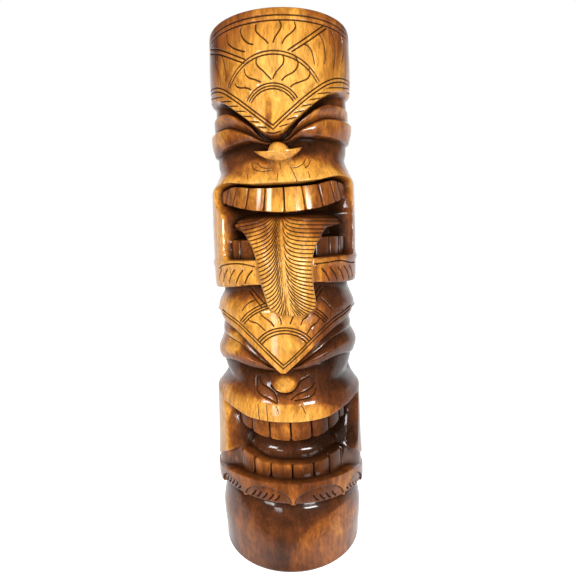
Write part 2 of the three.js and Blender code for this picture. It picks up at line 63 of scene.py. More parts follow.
# Carving lines run round the log from the middle to the side. Each is given at these four arcs.
STATIONS = (14, 57, 110, 200)

# Lower face: foot, chin, lips, nose and brow plate
FOOT_BELLY = 80
FOOT_SHOULDER = 36
FOOT_NECK = 18
CHIN = (149, 149, 148, 132)
CHIN_STEP = 5
LOWER_LIP = (192, 192, 189, 166)
LOWER_LIP_FACE = 16
MUZZLE_LIP = (310, 311.5, 322, 336)
LOWER_EYE = (396, 401, 411, 399)
LOWER_PLATE = Values(tip=400, flat=4, rise=0.97, shoulder=440, drift=0.36, top=490, blend=22)

# Upper face: lips and brow plate
CHEEK_FOOT = (562, 561, 555, 550)
CHEEK_STEP = 4
CHEEK_NECK = 9
CHEEK_FACE = 14
UPPER_LIP = (734, 736, 743, 730)
UPPER_EYE = (799.5, 810, 807, 803)
UPPER_PLATE = Values(tip=812.5, flat=7, rise=0.83, shoulder=850, drift=0.36, top=899, blend=24)
LID_THICKNESS = 3.5
PLATE_BEVEL = 8
PLATE_RIM = 1.5
LID_GROOVE = (404.5, 424.5, 450, 458)
BROW_GROOVE = (806.2, 827, 844, 848)
BROW_STEP = (809.5, 844.5, 869, 871)
LEAST_WIDTH = 0.5

# Walls of raised forms: how wide they are, and the share of that outside the outline
WALL = 3.5
WALL_OUTSIDE = 0.3

# Upper mouth
UPPER_MOUTH = Values(floor=604, depth=-46, blend=4, corner=12, wall=5.5, rim=1.5)
UPPER_MOUTH_SIDE = [(600, 141), (680, 139), (712, 156), (760, 160)]
UPPER_MOUTH_SHIFT = [(600, 15), (685, 13), (712, 0)]
UPPER_TEETH = Values(depth=-14, gaps=(0, 41, 80, 116, 142), fan=0.18, length=46, hidden=4, margin=1)
UPPER_TEETH_FOOT = [(0, 684), (57, 688), (115, 699), (150, 706)]
CORNER_TEETH = Values(depth=-17, top=641, foot=600, inner=40, gaps=(60, 96, 128),
                      hidden=3, margin=2)
LIP_BEAD = Values(height=597, width=6.5, proud=2.5)

# Tongue
TONGUE_WIDTH = [(530, 42), (560, 44), (600, 48), (626, 59), (638, 70), (648, 81), (655, 95), (658, 110),
                (661, 127), (668, 132)]
TONGUE_TIP = Values(height=530, length=27.5, round=2.5)
TONGUE_MIDDLE = [(503, 14), (530, 9), (560, 3), (600, -1), (655, 0), (661, 14), (690, 16)]
TONGUE_DEPTH = [(503, 5), (520, 9), (560, 10), (600, 9), (625, 3), (645, -4), (658, -10), (668, -15),
                (676, -24), (683, -38), (690, -46)]
TONGUE_CROWN = 4
TONGUE_ARCH = 2.5
TONGUE_FLARE = 6
TONGUE_ROOT = 690
TONGUE_REACH = 160
TONGUE_EDGE = [(625, 4), (655, 15)]
TONGUE_WALL_OUTSIDE = 0.8
CREASE = [(503, 9), (520, 5), (560, 0), (610, -3), (690, -6)]
CREASE_DEPTH = 3.5
CREASE_WIDTH = 9

# Upper nose: a round tip over a leaf-shaped underside
UPPER_NOSE = Values(ridge=788, width=20, height=17, proud=3.5, root=-14)
NOSE_LEAF = Values(width=42, foot=771, rise=1.5, lift=5, root=-5.25, fall=10.5)

# Lower nose
LOWER_NOSE_FOOT = [(0, 364), (10, 366), (18, 371), (26, 380), (44, 394)]
LOWER_NOSE_TOP = [(10, 403), (26, 397), (44, 397)]
LOWER_NOSE = Values(width=44, proud=5, root=-20, fall=11, blend=3)

# Lower mouth
LOWER_MOUTH_SIDE = [(188, 104), (228, 113), (262, 120), (295, 130), (318, 137)]
LOWER_MOUTH_SHIFT = [(200, 5), (240, 9), (262, 12), (295, 15)]
LOWER_MOUTH = Values(tongue=-32, depth=-50, tongue_top=234, back_foot=268, blend=3, corner=8,
                     wall=5.5, rim=1.5)
JAMB_BEVEL = Values(depth=-16, foot=215, fade=25, head=6)
JAMB_WIDTH = [(240, 28), (320, 14)]
JAMB_FOOT = [(95, 240), (140, 216), (200, 186)]
LEDGE = Values(depth=-15, start=110, end=190, wall=4.5)
TOP_TEETH = Values(depth=-19, gaps=(0, 42, 81, 113), side=132, hidden=1, margin=3)
TOP_TEETH_FOOT = [(0, 262), (50, 266), (90, 276), (125, 288)]
BOTTOM_TEETH = Values(depth=-14, gaps=(0, 41, 75, 106), side=112, hidden=4)
BOTTOM_TEETH_TOP = [(0, 221), (50, 222), (104, 234)]
SCALLOPS = [(-42, 41, 32), (51, 46, 31), (-120, 33, 27), (136, 36, 29)]
SCALLOP_DEPTH = 4.5
SCALLOP_EDGE = 0.12
SCALLOP_FOOT = 2
TOOTH_GAP = Values(depth=7, half=1.1, floor=0.3, flare=3.0, flare_length=7)
TOOTH_CROWN = 1.6

# Mesh: a fine net over the wood, thinned to this many triangles
ROWS = 1450
COLUMNS = 720
FRONT_SHARE = 0.55
FRONT_POWER = 5
TRIANGLES = 198000
BAND = 100
END_FACE = 0.999
CORNER_INSET = 0.25


def smooth(value, low, high):
    t = np.clip((value - low) / (high - low), 0, 1)
    return t * t * (3 - 2 * t)


def mix(low, high, share):
    return low + (high - low) * share


def hermite(t, start, end, slope_start, slope_end):
    rest = 1 - t
    return (start * (1 + 2 * t) * rest * rest + end * t * t * (3 - 2 * t)
            + slope_start * t * rest * rest - slope_end * t * t * rest)


def curve(points):
    """Shape-preserving cubic through (x, y) points, flat outside them."""
    x, y = np.array(points, float).T
    width = np.diff(x)
    secant = np.diff(y) / width
    before, after = secant[:-1], secant[1:]
    slope = np.zeros(len(x))
    rising = before * after > 0
    slope[1:-1][rising] = 2 * (before * after)[rising] / (before + after)[rising]

    def value(at):
        at = np.clip(at, x[0], x[-1])
        i = np.clip(np.searchsorted(x, at, "right") - 1, 0, len(width) - 1)
        t = (at - x[i]) / width[i]
        return hermite(t, y[i], y[i + 1], slope[i] * width[i], slope[i + 1] * width[i])

    return value


def smooth_min(a, b, blend):
    h = np.clip(0.5 + 0.5 * (b - a) / blend, 0, 1)
    return mix(b, a, h) - blend * h * (1 - h)


def station_curve(values):
    return curve(list(zip(STATIONS, values)))


def above(line, rise):
    return lambda arc: line(arc) + rise


def level(height):
    return lambda arc: np.full_like(arc, height)


def plate_line(plate):
    """A line up the side of a brow plate: steep sides and flatter shoulders."""
    def value(arc):
        side = plate.tip + plate.rise * (arc - plate.flat)
        shoulder = plate.shoulder + plate.drift * arc
        return smooth_min(smooth_min(side, shoulder, plate.blend), plate.top, plate.blend)
    return value


def plate_edge(plate):
    """Lower edge of a brow plate: its side lines meet in a blunt tip."""
    return lambda arc: np.maximum(plate.tip, plate_line(plate)(arc))


middle_line = curve(MIDDLE_LINE)
lean = curve(LEAN)
chin = station_curve(CHIN)
lower_lip = station_curve(LOWER_LIP)
muzzle_lip = station_curve(MUZZLE_LIP)
lower_eye = station_curve(LOWER_EYE)
lower_plate = plate_edge(LOWER_PLATE)
cheek_foot = station_curve(CHEEK_FOOT)
upper_lip = station_curve(UPPER_LIP)
upper_eye = station_curve(UPPER_EYE)
upper_plate = plate_edge(UPPER_PLATE)

# The carving lines from the floor to the top: where each runs, and how far it stands off the log
LINES = [
    ("floor", level(0), (-10.5,) * 4),
    ("foot belly", level(FOOT_BELLY), (-5.5,) * 4),
    ("foot shoulder", above(chin, -FOOT_SHOULDER), (-7.5,) * 4),
    ("foot neck", above(chin, -FOOT_NECK), (-11.5,) * 4),
    ("foot top", above(chin, -CHIN_STEP), (-17,) * 4),
    ("chin edge", chin, (1.5,) * 4),
    ("lower lip face", above(lower_lip, -LOWER_LIP_FACE), (3.5,) * 4),
    ("lower lip edge", lower_lip, (3.5,) * 4),
    ("jaw", level(235), (1.5,) * 4),
    ("muzzle lip", muzzle_lip, (6, 5.5, 2.6, 1)),
    ("muzzle bulge", station_curve((340, 341, 346, 349)), (3, 2, -3, -8)),
    ("muzzle top", station_curve((365, 370, 371, 369)), (-8, -12, -19, -25)),
    ("under eye", station_curve((389, 389, 385, 382)), (-20, -20, -20, -19)),
    ("eye slit", lower_eye, (-27, -28, -22, -13)),
    ("lid edge", above(lower_eye, LID_THICKNESS), (-20, -16, -10, -9)),
    ("lid crest", station_curve((403, 418, 433, 424)), (-18, -11, -4, -3)),
    ("lid groove", station_curve(LID_GROOVE), (-22, -19.5, -15, -14)),
    ("valley lip", station_curve((406, 428, 455, 463)), (-20.5, -15.5, -12.5, -13.5)),
    ("plate foot", above(lower_plate, -PLATE_BEVEL), (-22, -20.5, -18, -16.5)),
    ("plate rim", above(lower_plate, PLATE_RIM), (0, -1, -5, -10)),
    ("brow swell", level(508), (-2, -2.5, -3.5, -5.5)),
    ("brow top", level(530), (-10, -10.5, -11.5, -13)),
    ("neck", above(cheek_foot, -CHEEK_NECK), (-18,) * 4),
    ("neck top", above(cheek_foot, -CHEEK_STEP), (-17,) * 4),
    ("cheek foot", cheek_foot, (-1.5,) * 4),
    ("cheek face", above(cheek_foot, CHEEK_FACE), (0.5,) * 4),
    ("cheek bead", level(603), (1,) * 4),
    ("cheek", level(660), (2,) * 4),
    ("upper lip", upper_lip, (3, 3, 3, 2)),
    ("upper muzzle", station_curve((752, 753, 755, 752)), (-1, -1.5, -4, -7)),
    ("upper muzzle top", station_curve((769, 773, 772, 775)), (-8, -10.5, -14, -15.5)),
    ("eye bag", station_curve((789, 788, 787, 787)), (-18, -23, -18, -13)),
    ("upper eye slit", upper_eye, (-27, -31, -24, -12)),
    ("upper lid edge", above(upper_eye, LID_THICKNESS), (-19, -15, -7, -6.5)),
    ("upper lid crest", station_curve((805, 823, 838, 838)), (-18, -10, -2, 0)),
    ("brow groove", station_curve(BROW_GROOVE), (-24, -20, -11.5, -6.5)),
    ("brow crest", station_curve((809, 841, 865, 866)), (-19, -11.5, -4, -6.5)),
    ("brow step", station_curve(BROW_STEP), (-24, -21, -18, -9)),
    ("upper plate foot", above(upper_plate, -PLATE_BEVEL), (-25, -25, -23, -10)),
    ("upper plate rim", above(upper_plate, PLATE_RIM), (2, 1.5, -0.5, -2)),
    ("forehead", level(950), (0.5, 0.4, 0.2, 0)),
    ("crown", level(HEIGHT), (-1,) * 4),
]
SIDE_STEPS = np.arange(0, BACK_START + 0.5, 0.5)
LINE_HEIGHTS = np.array([height(SIDE_STEPS) for _, height, _ in LINES])
LINE_DEPTHS = np.array([station_curve(depth)(SIDE_STEPS) for _, _, depth in LINES])


def broad_forms(p, depth):
    """Depth between the carving lines above and below each point."""
    reach = np.minimum(p.side, BACK_START)
    heights = np.array([np.interp(reach, SIDE_STEPS, row) for row in LINE_HEIGHTS])
    depths = np.array([np.interp(reach, SIDE_STEPS, row) for row in LINE_DEPTHS])
    last = len(LINES) - 1
    passed = p.z[None] >= heights[:last]
    i = last - 1 - np.argmax(passed[::-1], axis=0)
    i = np.where(passed.any(axis=0), i, 0)

    def pick(table, k):
        return np.take_along_axis(table, np.clip(k, 0, last)[None], axis=0)[0]

    def width(k):
        return np.maximum(pick(heights, k + 1) - pick(heights, k), LEAST_WIDTH)

    def secant(k):
        inside = (k >= 0) & (k < last)
        return np.where(inside, (pick(depths, k + 1) - pick(depths, k)) / width(np.clip(k, 0, last - 1)), 0)

    def slope(k):
        before, after = secant(k - 1), secant(k)
        rising = before * after > 0
        return np.where(rising, 2 * before * after / np.where(rising, before + after, 1), 0)

    across = width(i)
    t = np.clip((p.z - pick(heights, i)) / across, 0, 1)
    return hermite(t, pick(depths, i), pick(depths, i + 1), slope(i) * across, slope(i + 1) * across)


def raise_to(depth, form, inside, wall=WALL, outside=WALL_OUTSIDE):
    """Raise the wood to a form where the form stands proud, inside its outline."""
    return mix(depth, np.maximum(depth, form), smooth(inside, -outside * wall, (1 - outside) * wall))


def wall_share(inside, wall, rim):
    """How far down a wall each point lies, for a wall that starts a rim's width outside its outline."""
    return smooth(inside, -rim, wall - rim)


def tooth_gaps(arc, to_end, gaps):
    """Grooves between neighbouring teeth, opening towards the free ends."""
    half = TOOTH_GAP.half + TOOTH_GAP.flare * (1 - smooth(to_end, 0, TOOTH_GAP.flare_length))
    nearest = np.min([np.abs(arc - gap) for gap in gaps], axis=0)
    return TOOTH_GAP.depth * (1 - smooth(nearest, TOOTH_GAP.floor * half, half + TOOTH_GAP.half))


def tooth_crown(arc, gaps):
    """Rounding across each tooth, from 0 at its sides to full in its middle."""
    ends = np.array([*gaps, gaps[-1] + gaps[1] - gaps[0]], float)
    i = np.clip(np.searchsorted(ends, arc, "right") - 1, 0, len(gaps) - 1)
    across = np.clip(2 * (arc - ends[i]) / (ends[i + 1] - ends[i]) - 1, -1, 1)
    return TOOTH_CROWN * (1 - across * across)


def upper_nose(p, depth):
    nose, leaf = UPPER_NOSE, NOSE_LEAF
    ball = 1 - (p.side / nose.width) ** 2 - ((p.z - nose.ridge) / nose.height) ** 2
    tip = mix(nose.root, nose.proud, np.sqrt(np.maximum(ball, 0)))
    result = np.where((ball > 0) & (p.z > nose.ridge - 1), np.maximum(depth, tip), depth)
    spread = (p.side / leaf.width) ** 2
    foot = leaf.foot + (nose.ridge - leaf.foot) * spread
    inside = np.minimum(nose.ridge + leaf.rise + leaf.lift * spread - p.z, p.z - foot)
    form = mix(leaf.root, nose.proud, smooth(p.z, leaf.foot, nose.ridge)) - leaf.fall * spread
    return raise_to(result, form, inside)


upper_mouth_side = curve(UPPER_MOUTH_SIDE)
upper_mouth_shift = curve(UPPER_MOUTH_SHIFT)
upper_teeth_foot = curve(UPPER_TEETH_FOOT)


def upper_mouth_across(p):
    return upper_mouth_side(p.z) - np.abs(p.x - upper_mouth_shift(p.z))


def upper_mouth_inside(p):
    between = smooth_min(upper_lip(p.side) - p.z, p.z - UPPER_MOUTH.floor, UPPER_MOUTH.blend)
    return smooth_min(between, upper_mouth_across(p), UPPER_MOUTH.corner)


def upper_mouth(p, depth):
    inside = upper_mouth_inside(p)
    opened = mix(depth, UPPER_MOUTH.depth, wall_share(inside, UPPER_MOUTH.wall, UPPER_MOUTH.rim))
    teeth = CORNER_TEETH
    tooth = np.minimum(np.minimum(teeth.top - p.z, p.z - teeth.foot),
                       np.minimum(upper_mouth_across(p) + teeth.hidden, p.side - teeth.inner))
    form = teeth.depth + tooth_crown(p.side, teeth.gaps) - tooth_gaps(p.side, teeth.top - p.z, teeth.gaps)
    return np.where(inside < -teeth.margin, depth, raise_to(opened, form, tooth))


def upper_teeth(p, depth):
    foot = upper_teeth_foot(p.side)
    fanned = p.side * (1 + UPPER_TEETH.fan * np.clip((p.z - foot) / UPPER_TEETH.length, 0, 1))
    tooth = np.minimum(np.minimum(upper_lip(p.side) - UPPER_TEETH.hidden - p.z, p.z - foot),
                       upper_mouth_side(p.z) + UPPER_TEETH.hidden - p.side)
    form = (UPPER_TEETH.depth + tooth_crown(fanned, UPPER_TEETH.gaps)
            - tooth_gaps(fanned, p.z - foot, UPPER_TEETH.gaps))
    return np.where(upper_mouth_inside(p) < -UPPER_TEETH.margin, depth, raise_to(depth, form, tooth))


tongue_spread = curve(TONGUE_WIDTH)
tongue_middle = curve(TONGUE_MIDDLE)
tongue_depth = curve(TONGUE_DEPTH)
tongue_edge = curve(TONGUE_EDGE)
crease = curve(CREASE)


def tongue_width(z):
    below = np.clip((TONGUE_TIP.height - z) / TONGUE_TIP.length, 0, 1)
    return tongue_spread(z) * (1 - below ** TONGUE_TIP.round) ** (1 / TONGUE_TIP.round)


def tongue_inside(p):
    """Distance inside the tongue's outline, less than zero outside it."""
    foot = TONGUE_TIP.height - TONGUE_TIP.length
    flare = np.clip((tongue_width(p.z + 1) - tongue_width(p.z - 1)) / 2, -TONGUE_FLARE, TONGUE_FLARE)
    inside = (tongue_width(p.z) - np.abs(p.arc - tongue_middle(p.z))) / np.hypot(1, flare)
    return np.where(p.z < foot, p.z - foot, inside)


def tongue_across(p):
    return np.minimum(np.abs(p.arc - tongue_middle(p.z)) / np.maximum(tongue_width(p.z), 1), 1)


def tongue(p, depth):
    inside = tongue_inside(p)
    rolled = 1 - smooth(inside, 0, 2 * TONGUE_CROWN)
    crown = TONGUE_CROWN * (tongue_across(p) ** TONGUE_ARCH + rolled * rolled)
    furrow = CREASE_DEPTH * np.exp(-((p.arc - crease(p.z)) / CREASE_WIDTH) ** 2)
    form = tongue_depth(p.z) - crown - furrow
    raised = raise_to(depth, form, inside, tongue_edge(p.z), TONGUE_WALL_OUTSIDE)
    return np.where(p.z > TONGUE_ROOT, depth, raised)


def lip_bead(p, depth):
    bell = np.exp(-((p.z - LIP_BEAD.height) / LIP_BEAD.width) ** 2)
    return depth + LIP_BEAD.proud * bell * smooth(-tongue_inside(p), 0, LIP_BEAD.width)


lower_nose_foot = curve(LOWER_NOSE_FOOT)
lower_nose_top = curve(LOWER_NOSE_TOP)


def lower_nose(p, depth):
    inside = smooth_min(p.z - lower_nose_foot(p.side), lower_nose_top(p.side) - p.z, LOWER_NOSE.blend)
    rise = 1 - smooth(p.z, LOWER_NOSE_FOOT[0][1], LOWER_NOSE_TOP[0][1])
    form = mix(LOWER_NOSE.root, LOWER_NOSE.proud, rise) - LOWER_NOSE.fall * (p.side / LOWER_NOSE.width) ** 2
    return np.where(p.side > LOWER_NOSE.width, depth, raise_to(depth, form, inside))


lower_mouth_side = curve(LOWER_MOUTH_SIDE)
lower_mouth_shift = curve(LOWER_MOUTH_SHIFT)
jamb_foot = curve(JAMB_FOOT)
jamb_width = curve(JAMB_WIDTH)
top_teeth_foot = curve(TOP_TEETH_FOOT)
bottom_teeth_top = curve(BOTTOM_TEETH_TOP)


def lower_mouth_across(p):
    return lower_mouth_side(p.z) - np.abs(p.x - lower_mouth_shift(p.z))


def lower_mouth_inside(p):
    between = smooth_min(muzzle_lip(p.side) - p.z, p.z - lower_lip(p.side), LOWER_MOUTH.blend)
    return smooth_min(between, lower_mouth_across(p), LOWER_MOUTH.corner)


def lower_mouth(p, depth):
    past = np.clip(1 + lower_mouth_across(p) / jamb_width(p.z), 0, 1)
    jamb = (smooth(p.z, JAMB_BEVEL.foot, JAMB_BEVEL.foot + JAMB_BEVEL.fade)
            * smooth(muzzle_lip(p.side) - p.z, 0, JAMB_BEVEL.head))
    bevelled = depth + JAMB_BEVEL.depth * past * jamb
    ledge = smooth_min(p.z - lower_lip(p.side), jamb_foot(p.side) - p.z, LOWER_MOUTH.blend)
    shelf = mix(LEDGE.depth, 0, smooth(p.side, LEDGE.start, LEDGE.end))
    stepped = mix(bevelled, np.minimum(bevelled, shelf), wall_share(ledge, LEDGE.wall, LOWER_MOUTH.rim))
    past_tongue = smooth(p.z, LOWER_MOUTH.tongue_top, LOWER_MOUTH.back_foot)
    back = mix(LOWER_MOUTH.tongue, LOWER_MOUTH.depth, past_tongue)
    return mix(stepped, back, wall_share(lower_mouth_inside(p), LOWER_MOUTH.wall, LOWER_MOUTH.rim))


def lower_teeth(p, depth):
    foot = top_teeth_foot(p.side)
    hung = np.minimum(np.minimum(muzzle_lip(p.side) - TOP_TEETH.hidden - p.z, p.z - foot),
                      TOP_TEETH.side - p.side)
    hung_form = (TOP_TEETH.depth + tooth_crown(p.side, TOP_TEETH.gaps)
                 - tooth_gaps(p.side, p.z - foot, TOP_TEETH.gaps))
    top = bottom_teeth_top(p.side)
    stood = np.minimum(np.minimum(top - p.z, p.z - lower_lip(p.side) + BOTTOM_TEETH.hidden),
                       BOTTOM_TEETH.side - p.side)
    stood_form = (BOTTOM_TEETH.depth + tooth_crown(p.side, BOTTOM_TEETH.gaps)
                  - tooth_gaps(p.side, top - p.z, BOTTOM_TEETH.gaps))
    toothed = raise_to(raise_to(depth, hung_form, hung), stood_form, stood)
    return np.where(lower_mouth_inside(p) < -TOP_TEETH.margin, depth, toothed)


def scallop_inside(p):
    up = p.z - chin(p.side)
    rounds = [1 - ((p.arc - arc) / half) ** 2 - (up / rise) ** 2 for arc, half, rise in SCALLOPS]
    return np.max(rounds, axis=0)


def scallops(p, depth):
    """Half-round hollows along the chin."""
    hollow = depth - SCALLOP_DEPTH * smooth(scallop_inside(p), 0, SCALLOP_EDGE)
    return np.where(p.z < chin(p.side) - SCALLOP_FOOT, depth, hollow)


CARVING = [broad_forms, upper_nose, upper_mouth, tongue, upper_teeth, lip_bead, lower_nose, lower_mouth,
           lower_teeth, scallops]


def pattern_point(arc, height):
    """Where a point lies on the faces once the wandering middle and the lean are taken off."""
    x = arc - middle_line(height)
    z = height - lean(height) * np.clip(arc, -LEAN_REACH, LEAN_REACH)
    arc = arc + np.zeros_like(height)
    return Values(arc=arc, x=x, z=z, side=np.abs(x))


def carved_depth(arc, height):
    p = pattern_point(arc, height)
    depth = np.zeros_like(p.z)
    for carve in CARVING:
        depth = carve(p, depth)
    return mix(depth, BACK_DEPTH, smooth(p.side, BACK_START, BACK_END))


# Engraved lines, cut with a V gouge
GOUGE = Values(half=2.0, depth=2.2)
HAIR_GOUGE = Values(half=1.7, depth=1.7)
STROKE_GOUGE = Values(half=2.5, depth=2.4)
FINE_GOUGE = Values(half=1.2, depth=1.0)
CREASE_GOUGE = Values(half=1.3, depth=1.2)
FEATHER_GOUGE = Values(half=1.7, depth=1.7)
GOUGE_FLOOR = 0.15
SURFACE_STRETCH = 1.1
WINDOW_MARGIN = 20
RING_HEIGHTS = (994, 1002)
UPPER_BORDER = Values(rises=(16, 22.5), reach=185, feather=(0.5, 12), feather_pitch=8.0,
                      feather_slope=0.2, feather_fade=1)
LOWER_BORDER = Values(rises=(12.5, 19), reach=150)
BORDER_HEADROOM = 50
EYE_CREASE = Values(start=(14, 24), end=(120, 165))
SCALLOP_LINE = Values(start=(2, 5), band=0.4)
UPPER_FAN = Values(centre=(-14, 846), big=(101, 95.5), small=(50, 45.5, 41), big_angle=56, small_angle=58)
LOWER_FAN = Values(centre=(-5, 426), big=(105, 100, 95.5), small=(57, 52, 46.5), big_angle=51,
                   small_angle=55)
FAN_POINTS = 40
UPPER_PETALS = [
    [(-38, 938), (-39, 930), (-34, 922), (-28, 917), (-20, 908), (-14, 902)],
    [(6, 939), (8, 932), (5, 924), (-2, 917), (-8, 909), (-11, 903)],
    [(-61, 923), (-59, 915), (-52, 908), (-42, 904), (-32, 899)],
    [(-80, 904), (-78, 899), (-70, 895), (-58, 893), (-50, 889)],
    [(28, 936), (31, 930), (30, 921), (22, 912), (10, 906), (4, 900)],
    [(51, 920), (52, 911), (46, 903), (32, 897), (22, 893), (18, 889)],
    [(-98, 988), (-97, 975), (-85, 963), (-70, 955), (-60, 951)],
    [(-66, 990), (-67, 983), (-62, 972), (-52, 963), (-44, 960)],
    [(-38, 990), (-38, 980), (-30, 971), (-22, 964), (-18, 959)],
    [(3, 992), (5, 984), (0, 975), (-6, 967), (-9, 960)],
    [(28, 991), (29, 983), (22, 975), (12, 967), (6, 958)],
    [(42, 958), (50, 956), (56, 949), (60, 938), (61, 929)],
    [(72, 979), (79, 971), (83, 958), (84, 945), (83, 933)],
    [(101, 990), (107, 978), (110, 962), (108, 945), (104, 930)],
    [(133, 989), (137, 978), (136, 962), (130, 946)],
    [(-113, 957), (-108, 945), (-104, 930), (-103, 915)],
    [(-134, 952), (-128, 938), (-122, 924), (-120, 912)],
]
UPPER_BANDS = [
    [(15, 947), (45, 967), (82, 993)],
    [(22, 945), (50, 963), (90, 991)],
    [(-165, 985), (-120, 969), (-60, 939)],
    [(-165, 977), (-120, 961), (-62, 933)],
]
LOWER_PETALS = [
    [(-70, 497), (-65, 493), (-52, 490), (-44, 484), (-38, 478)],
    [(-46, 509), (-42, 504), (-35, 499), (-27, 493), (-22, 486)],
    [(-23, 516), (-17, 509), (-11, 499), (-9, 490)],
    [(12, 505), (9, 498), (6, 490)],
    [(40, 509), (36, 502), (28, 496), (24, 487)],
    [(58, 495), (52, 488), (42, 482), (34, 470)],
    [(-60, 530), (-70, 526), (-78, 519), (-83, 511)],
    [(67, 530), (75, 522), (82, 512), (86, 505)],
    [(-59, 387), (-52, 375), (-42, 371), (-32, 366), (-24, 360), (-19, 347)],
    [(-64, 387), (-62, 375), (-58, 363), (-48, 356), (-35, 352), (-20, 345)],
    [(4, 351), (14, 358), (28, 362), (42, 367), (50, 374)],
    [(10, 349), (30, 351), (44, 356), (52, 366)],
    [(-32, 373), (-22, 366), (-8, 361), (4, 362), (14, 370), (24, 380), (42, 386)],
]
MUZZLE_LINES = [
    [(-58, 773), (-54, 763), (-45, 757), (-34, 755), (-20, 756)],
    [(-46, 770), (-38, 763), (-28, 760), (-20, 760)],
    [(44, 776), (38, 767), (28, 761), (18, 759)],
    [(52, 772), (47, 764), (40, 759)],
    [(54, 786), (60, 779), (64, 773)],
]
LOWER_BANDS = [
    [(-80, 558), (-60, 542), (-40, 526)],
    [(-76, 546), (-60, 533), (-44, 519)],
    [(78, 558), (58, 540), (42, 521)],
    [(76, 546), (60, 533), (46, 517)],
]
LIP_ARCHES = [
    [(-145, 585), (-130, 591), (-110, 595), (-90, 597), (-70, 596), (-52, 592)],
    [(50, 594), (70, 595), (100, 597), (120, 594), (140, 590), (165, 588)],
]
LIP_STROKE = [(0, 0), (-9, -10), (-16, -23)]
LIP_STROKES = Values(left=(-57, -76, -95, -114, -134), right=(64, 82, 100, 118, 136), top=585)
CHIN_STROKE = [(0, 0), (5, 5), (9, 12)]
CHIN_STROKES = Values(left=(-72, -62, -51, -40, -29, -143, -133, -123, -113, -103),
                      right=(46, 58, 70, 82, 116, 127, 138, 149, 160), foot=3, lean_height=150)
CRACKS = [
    [(14, 760), (19, 750), (22, 742), (24, 734)],
    [(-4, 768), (-3, 758)],
    [(-8, 748), (-9, 738)],
    [(-62, 752), (-60, 743)],
    [(44, 752), (46, 742)],
    [(-53, 341), (-51, 326), (-49, 313)],
    [(-38, 341), (-36, 326), (-35, 313)],
    [(-21, 340), (-17, 327)],
    [(20, 341), (26, 326)],
]
HAIR_PITCH = 7.2
HAIR_INSIDE = 1.5
HAIR_ROOT = 682
# How the hairs sweep down from the crease on either side, as (height, sweep, softness)
HAIRS_LEFT = [(510, 1000, 10), (545, 700, 6), (580, 616, 4)]
HAIRS_RIGHT = [(510, 1000, 11), (545, 600, 8), (580, 260, 4), (612, 160, 3)]
HAIR_EDGE = 44
HAIR_STARTS = ((1, 4), (6, 11))


def spline(points, steps=6):
    """Points of a Catmull-Rom curve through the given ones."""
    points = np.array(points, float)
    padded = np.vstack([2 * points[0] - points[1], points, 2 * points[-1] - points[-2]])
    t = np.linspace(0, 1, steps, endpoint=False)[:, None]
    made = [0.5 * (2 * b + (c - a) * t + (2 * a - 5 * b + 4 * c - d) * t ** 2
                   + (3 * b - a - 3 * c + d) * t ** 3)
            for a, b, c, d in zip(padded, padded[1:], padded[2:], padded[3:])]
    return np.vstack([*made, points[-1:]])


def fan_arcs(fan):
    """The round lines over a plate's tip."""
    arc, height = fan.centre
    for radii, reach in ((fan.big, fan.big_angle), (fan.small, fan.small_angle)):
        for radius in radii:
            turn = np.radians(np.linspace(-reach, reach, FAN_POINTS))
            yield np.column_stack([arc + radius * np.sin(turn), height + radius * np.cos(turn)])


def strokes(shape, starts, top, flip=1):
    for start in starts:
        yield spline([(start + flip * along, top(start) + up) for along, up in shape])


class Engraving:
    """How far into the gouge's cut each point of the net lies, from 0 to 1."""

    def __init__(self, arcs, heights):
        self.arcs = arcs
        self.heights = heights
        self.cut = np.zeros((len(heights), len(arcs)))
        self.depth = np.zeros_like(self.cut)

    def add(self, distance, gouge, window=np.s_[:, :], share=1.0):
        cut = share * (1 - smooth(distance, GOUGE_FLOOR * gouge.half, gouge.half))
        self.cut[window] = np.maximum(self.cut[window], cut)
        self.depth[window] = np.maximum(self.depth[window], gouge.depth * cut)

    def follow(self, points, gouge):
        """Cut along a line of points."""
        low, high = points.min(axis=0) - gouge.half, points.max(axis=0) + gouge.half
        rows = slice(*np.searchsorted(self.heights, (low[1], high[1])))
        columns = slice(*np.searchsorted(self.arcs, (low[0], high[0])))
        arcs = self.arcs[None, columns] * SURFACE_STRETCH
        heights = self.heights[rows, None]
        nearest = np.full((heights.shape[0], arcs.shape[1]), np.inf)
        scaled = points * (SURFACE_STRETCH, 1)
        for (x, z), (dx, dz) in zip(scaled, np.diff(scaled, axis=0)):
            along = np.clip(((arcs - x) * dx + (heights - z) * dz) / (dx * dx + dz * dz), 0, 1)
            nearest = np.minimum(nearest, np.hypot(arcs - x - along * dx, heights - z - along * dz))
        self.add(nearest, gouge, np.s_[rows, columns])

    def contours(self, field, gouge, share, window):
        """Cut where a field passes whole numbers."""
        rise = np.gradient(field, self.heights[window[0]], axis=0)
        run = np.gradient(field, self.arcs[window[1]] * SURFACE_STRETCH, axis=1)
        distance = np.abs(field - np.round(field)) / np.maximum(np.hypot(rise, run), 1e-6)
        self.add(distance, gouge, window, share)

    def window(self, arc_reach, low, high):
        rows = slice(*np.searchsorted(self.heights, (low, high)))
        columns = slice(*np.searchsorted(self.arcs, (-arc_reach, arc_reach)))
        p = pattern_point(self.arcs[None, columns], self.heights[rows, None])
        return np.s_[rows, columns], p


def across_tilt(line, side):
    """How much more a height above a sloping line is than the distance from the line."""
    slope = np.gradient(line(SIDE_STEPS), SIDE_STEPS)
    return np.hypot(1, np.interp(side, SIDE_STEPS, slope) / SURFACE_STRETCH)


